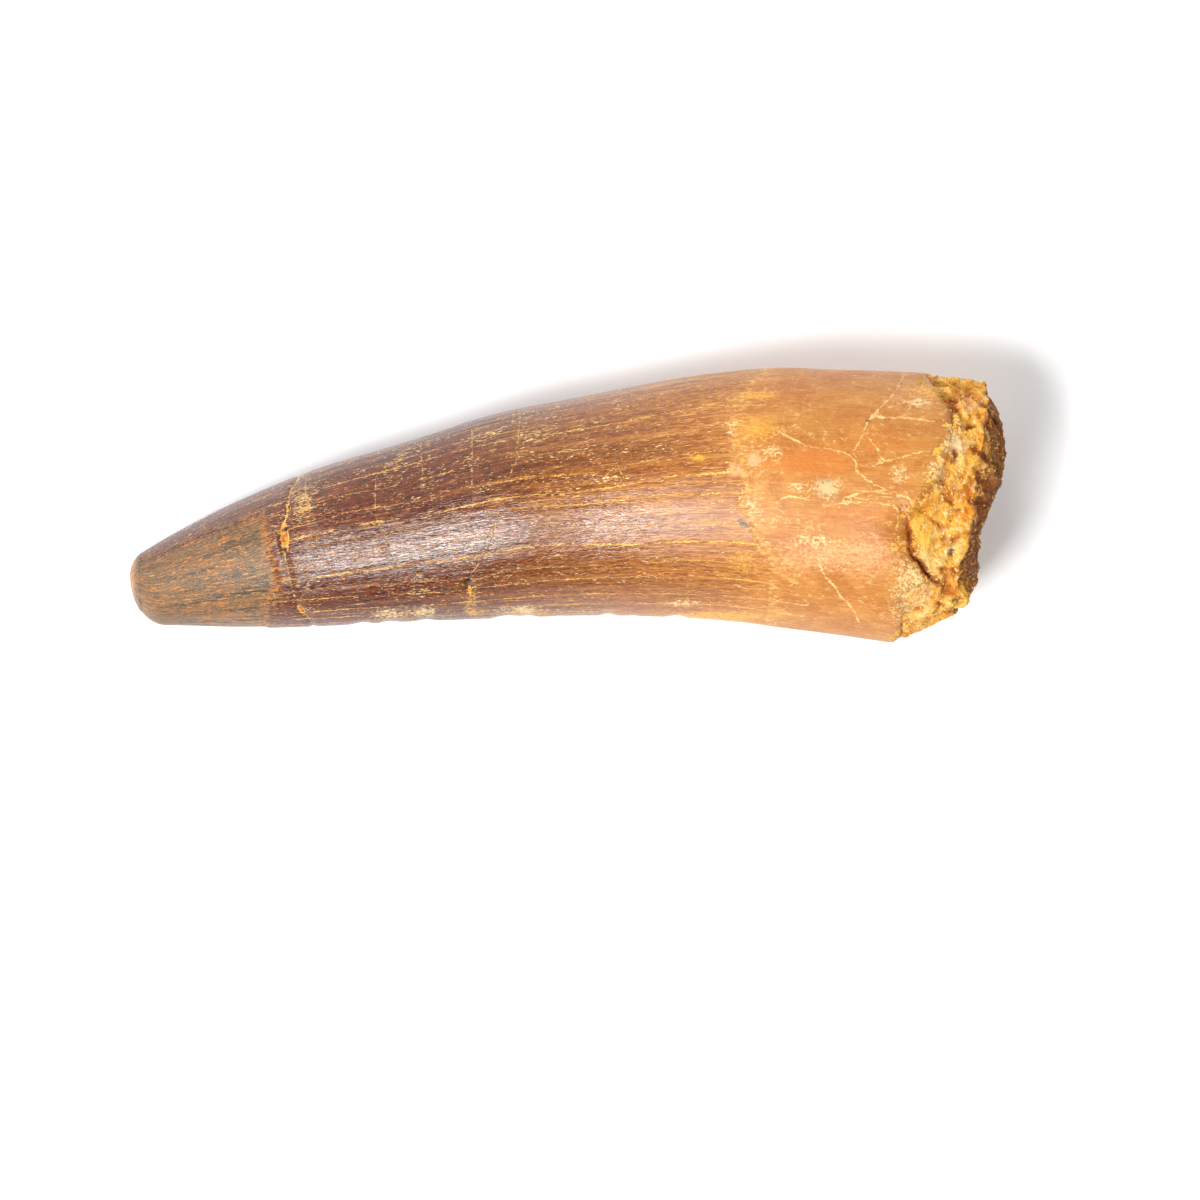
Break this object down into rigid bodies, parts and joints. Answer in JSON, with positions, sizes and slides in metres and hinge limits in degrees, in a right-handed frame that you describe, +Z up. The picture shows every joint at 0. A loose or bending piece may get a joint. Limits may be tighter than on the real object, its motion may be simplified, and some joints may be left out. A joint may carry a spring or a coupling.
{
  "type": "fossil tooth",
  "caption": "A fossil spinosaurus tooth lying on its side: a slim curved cone of cracked brown enamel with a worn tip, tan root and rough sandy broken end.",
  "frame": {"origin": "The middle of the tooth's footprint, on the surface that it lies on.", "axes": "+X runs the length of the tooth from the worn tip to the broken root, +Y points to the outer, convex side of its curve, and +Z is up, out of the surface that it lies on."},
  "size_m": [0.08, 0.0251, 0.0207],
  "materials": {
    "fossil_enamel": "Mineralised brown tooth enamel, smooth with a soft shine, finely cracked and flecked with cream; dull tan root dentine and sandy matrix at the broken end"
  },
  "bodies": {
    "root": {"tooth": "fossil_enamel"}
  },
  "joints": []
}
